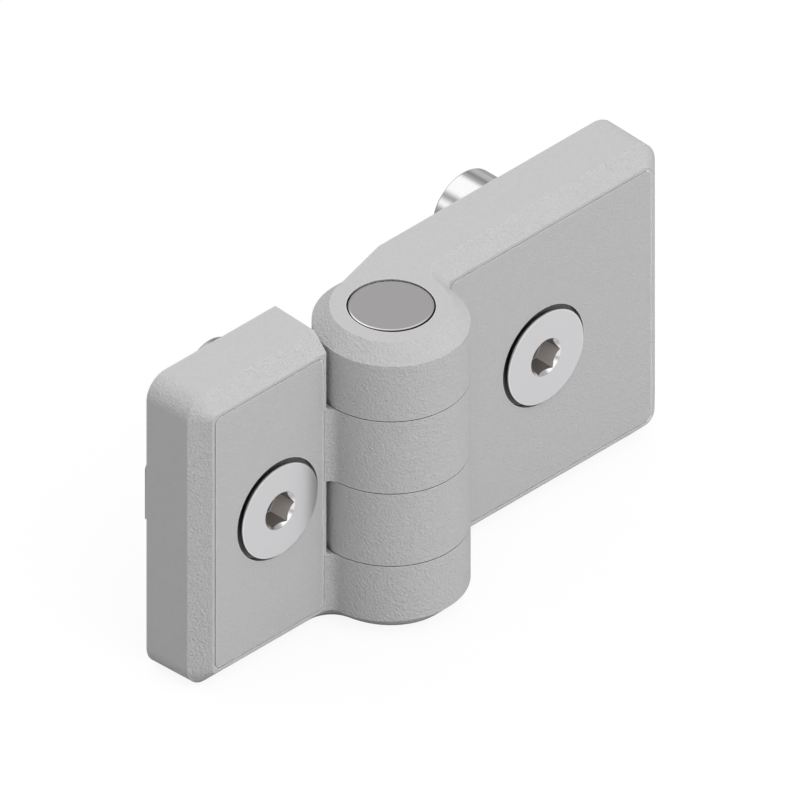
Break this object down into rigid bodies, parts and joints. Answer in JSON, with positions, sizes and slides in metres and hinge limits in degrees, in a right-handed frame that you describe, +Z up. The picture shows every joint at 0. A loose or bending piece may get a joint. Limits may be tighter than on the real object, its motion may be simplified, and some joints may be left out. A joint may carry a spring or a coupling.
{
  "type": "profile hinge",
  "caption": "Hinge with one short and one long cast leaf on a plain pin, with countersunk screws, locating studs and slot nuts for joining two slotted aluminium profiles.",
  "frame": {"origin": "on the pin's axis, at mid height of the barrel", "axes": "+X from the pin towards the long leaf, +Y towards the profiles that the leaves seat on (the leaves show their fronts to -Y), +Z up along the pin"},
  "size_m": [0.0751, 0.0292, 0.04],
  "materials": {
    "casting": "fine-textured silver",
    "pin_steel": "bare, drawn",
    "screw_steel": "zinc plated, satin",
    "stud_steel": "turned, bright",
    "nut_steel": "zinc plated"
  },
  "bodies": {
    "short_side": {"short_leaf": "casting", "hinge_pin": "pin_steel", "short_leaf_screw": "screw_steel", "short_leaf_nut": "nut_steel", "short_leaf_stud_upper": "stud_steel", "short_leaf_stud_lower": "stud_steel"},
    "long_side": {"long_leaf": "casting", "long_leaf_screw": "screw_steel", "long_leaf_nut": "nut_steel", "long_leaf_stud_upper": "stud_steel", "long_leaf_stud_lower": "stud_steel"}
  },
  "joints": [
    {"name": "leaf_pivot", "type": "hinge", "parent": "short_side", "child": "long_side", "pos_m": [0, 0, 0], "axis": [0, 0, 1], "range_deg": [-180, 90]}
  ]
}
